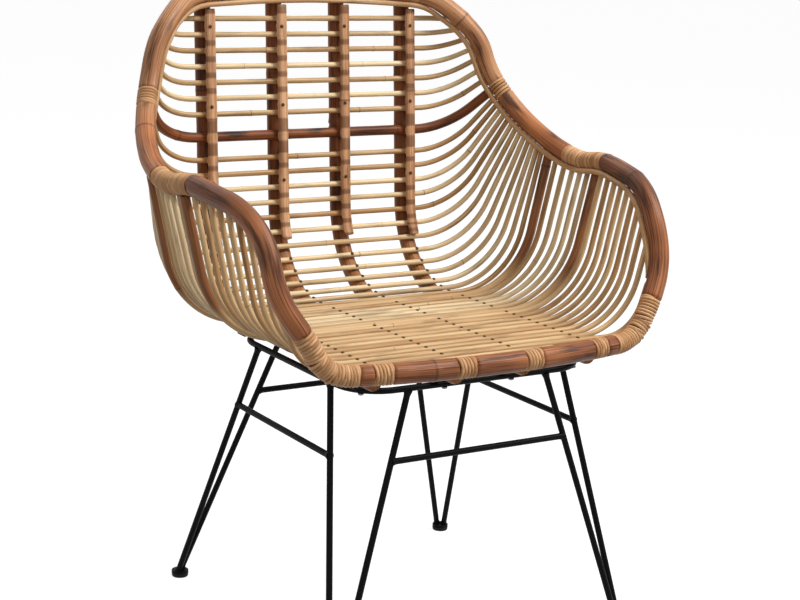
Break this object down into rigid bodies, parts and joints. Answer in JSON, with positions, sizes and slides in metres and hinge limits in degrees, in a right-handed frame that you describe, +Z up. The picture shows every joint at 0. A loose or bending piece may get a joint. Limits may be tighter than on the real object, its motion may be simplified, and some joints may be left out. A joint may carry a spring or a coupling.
{
  "type": "rattan armchair",
  "caption": "Rattan armchair: a bucket seat of bent canes inside a thick rim pole bound with cane, on a welded base of slim black steel rods with paired legs and stretchers.",
  "frame": {"origin": "on the floor, under the middle of the chair's bounding box", "axes": "+Z up, -Y the way the sitter faces, +X to the right as seen from the front"},
  "size_m": [0.7012, 0.5731, 0.876],
  "materials": {
    "rim_pole": "lacquered peeled rattan",
    "cane": "satin lacquered rattan",
    "seat_cane": "satin lacquered rattan",
    "trim_cane": "satin lacquered rattan",
    "binding_cane": "satin cane peel",
    "dark_pole": "dark lacquered rattan",
    "rib_pole": "lacquered peeled rattan",
    "split_strip": "satin lacquered split rattan",
    "dowel": "plain hardwood",
    "nail": "dull brass-coloured",
    "screw": "zinc plated",
    "saddle_block": "black moulded",
    "black_steel": "black powder coat",
    "glide": "black moulded"
  },
  "bodies": {
    "root": {"arm_canes": "cane", "back_arch": "rim_pole", "back_canes": "cane", "base_ring": "black_steel", "cane_nails": "nail", "fan_canes": "cane", "front_edge_canes": "seat_cane", "front_left_foot_disc": "black_steel", "front_left_front_rod": "black_steel", "front_left_glide": "glide", "front_left_side_rod": "black_steel", "front_pole": "rim_pole", "front_right_foot_disc": "black_steel", "front_right_front_rod": "black_steel", "front_right_glide": "glide", "front_right_side_rod": "black_steel", "front_seat_rib": "rib_pole", "front_stretcher": "black_steel", "left_arm_binding": "binding_cane", "left_arm_pole": "rim_pole", "left_corner_binding": "binding_cane", "left_inner_front_binding": "binding_cane", "left_inner_spine": "dark_pole", "left_inner_strip": "split_strip", "left_inner_top_binding": "binding_cane", "left_lumbar_binding": "binding_cane", "left_outer_front_binding": "binding_cane", "left_outer_spine": "dark_pole", "left_outer_strip": "split_strip", "left_outer_top_binding": "binding_cane", "left_stretcher": "black_steel", "lumbar_pole": "dark_pole", "rear_left_foot_disc": "black_steel", "rear_left_glide": "glide", "rear_left_rear_rod": "black_steel", "rear_left_side_rod": "black_steel", "rear_right_foot_disc": "black_steel", "rear_right_glide": "glide", "rear_right_rear_rod": "black_steel", "rear_right_side_rod": "black_steel", "rear_seat_rib": "rib_pole", "rear_stretcher": "black_steel", "right_arm_binding": "binding_cane", "right_arm_pole": "rim_pole", "right_corner_binding": "binding_cane", "right_inner_front_binding": "binding_cane", "right_inner_spine": "dark_pole", "right_inner_strip": "split_strip", "right_inner_top_binding": "binding_cane", "right_lumbar_binding": "binding_cane", "right_outer_front_binding": "binding_cane", "right_outer_spine": "dark_pole", "right_outer_strip": "split_strip", "right_outer_top_binding": "binding_cane", "right_stretcher": "black_steel", "rim_dowels": "dowel", "rim_trim": "trim_cane", "saddle_blocks": "saddle_block", "seat_canes": "seat_cane", "seat_screws": "screw"}
  },
  "joints": []
}
